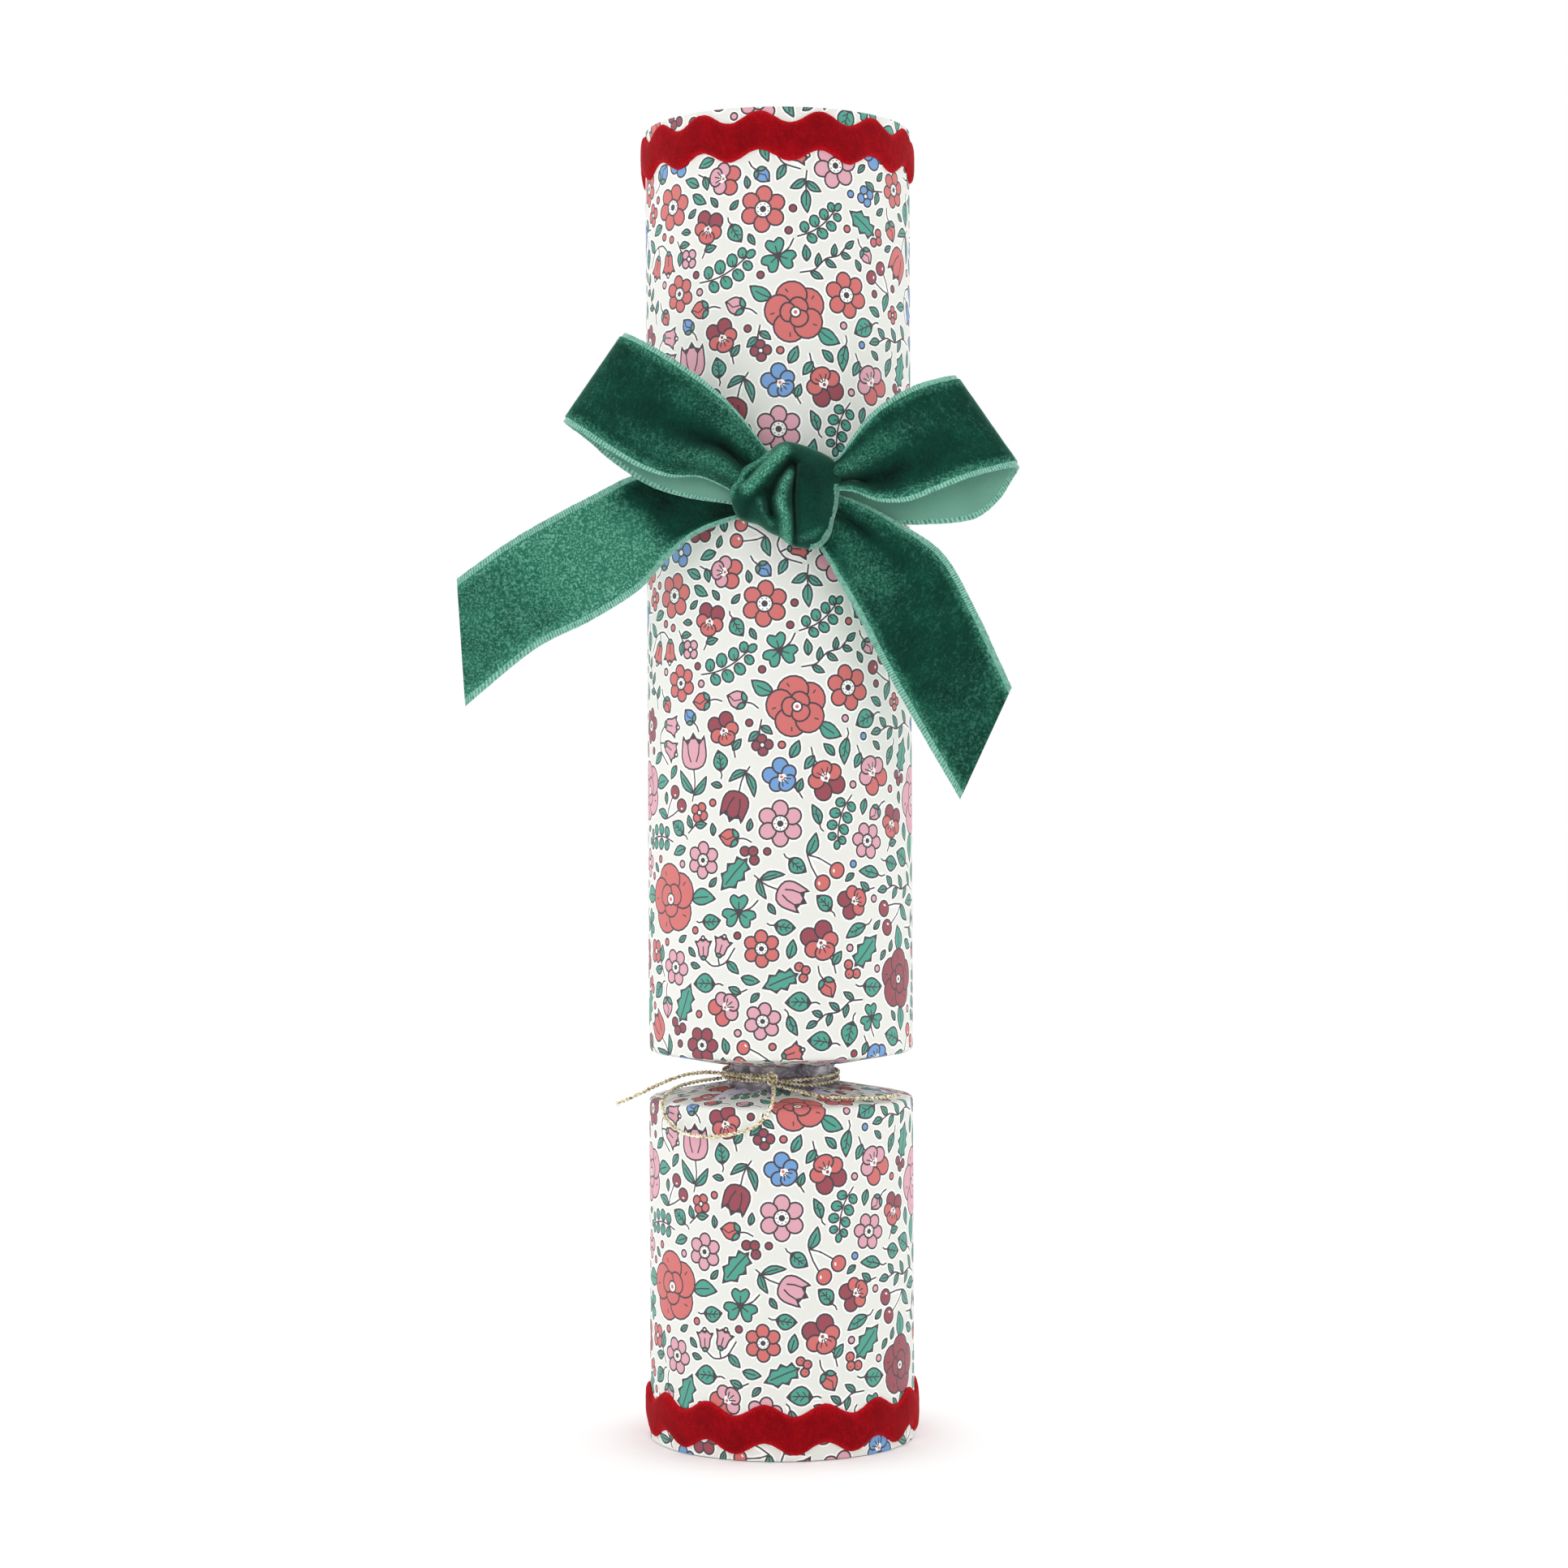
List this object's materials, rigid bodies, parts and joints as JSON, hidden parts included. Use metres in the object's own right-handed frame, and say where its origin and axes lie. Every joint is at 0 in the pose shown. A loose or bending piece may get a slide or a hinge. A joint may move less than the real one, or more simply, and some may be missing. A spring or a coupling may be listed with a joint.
{
  "type": "christmas cracker",
  "caption": "Upright paper cracker: card-stiffened printed tube with gathered chokes, velvet bow, gold cord and wavy velvet braid; the ends pull off to fire the snap inside.",
  "frame": {"origin": "centre of the lower rim, on the cracker's axis, where it stands", "axes": "+Z along the axis towards the end with the bow, -Y towards the bow's face"},
  "size_m": [0.1264, 0.0781, 0.305],
  "materials": {
    "printed_paper": "smooth matt, floral print",
    "lining_paper": "plain matt",
    "tube_card": "grey board",
    "braid_velvet": "velvet pile",
    "ribbon_velvet": "velvet pile, satin reverse",
    "gold_cord": "metallic two-ply cord",
    "snap_card": "smooth thin card",
    "snap_charge": "gritty coating",
    "tissue": "thin tissue",
    "white_paper": "plain matt",
    "gift_wood": "turned and waxed"
  },
  "bodies": {
    "lower_end": {"lower_end_wrap": "printed_paper", "lower_end_lining": "lining_paper", "lower_end_tube": "tube_card", "lower_ricrac": "braid_velvet", "snap_lower_strip": "snap_card", "choke_cord_winding": "gold_cord", "choke_cord_knot": "gold_cord", "choke_cord_loop": "gold_cord", "choke_cord_left_end": "gold_cord", "choke_cord_right_end": "gold_cord"},
    "barrel": {"barrel_wrap": "printed_paper", "barrel_lower_lining": "lining_paper", "barrel_upper_lining": "lining_paper", "barrel_tube": "tube_card"},
    "upper_end": {"upper_end_wrap": "printed_paper", "upper_end_lining": "lining_paper", "upper_end_tube": "tube_card", "upper_ricrac": "braid_velvet", "snap_upper_strip": "snap_card", "snap_charge": "snap_charge", "snap_sleeve": "white_paper"},
    "bow": {"ribbon_neck_band": "ribbon_velvet", "bow_knot": "ribbon_velvet", "bow_left_loop": "ribbon_velvet", "bow_right_loop": "ribbon_velvet", "bow_left_tail": "ribbon_velvet", "bow_right_tail": "ribbon_velvet"},
    "crown": {"paper_crown": "tissue", "crown_band": "white_paper", "motto_slip": "white_paper"},
    "gift": {"gift_top_disc": "gift_wood", "gift_top_stem": "gift_wood"}
  },
  "joints": [
    {"name": "lower_choke_pull", "type": "slide", "parent": "lower_end", "child": "barrel", "axis": [0, 0, 1], "range_m": [0, 0.12]},
    {"name": "upper_choke_pull", "type": "slide", "parent": "barrel", "child": "upper_end", "axis": [0, 0, 1], "range_m": [0, 0.12]},
    {"name": "bow_turn", "type": "hinge", "parent": "barrel", "child": "bow", "pos_m": [0, 0, 0.2203], "axis": [0, 0, 1], "continuous": true},
    {"name": "crown_slide", "type": "slide", "parent": "barrel", "child": "crown", "axis": [0, 0, 1], "range_m": [0, 0.051]},
    {"name": "gift_slide", "type": "slide", "parent": "barrel", "child": "gift", "axis": [0, 0, 1], "range_m": [0, 0.1]}
  ]
}
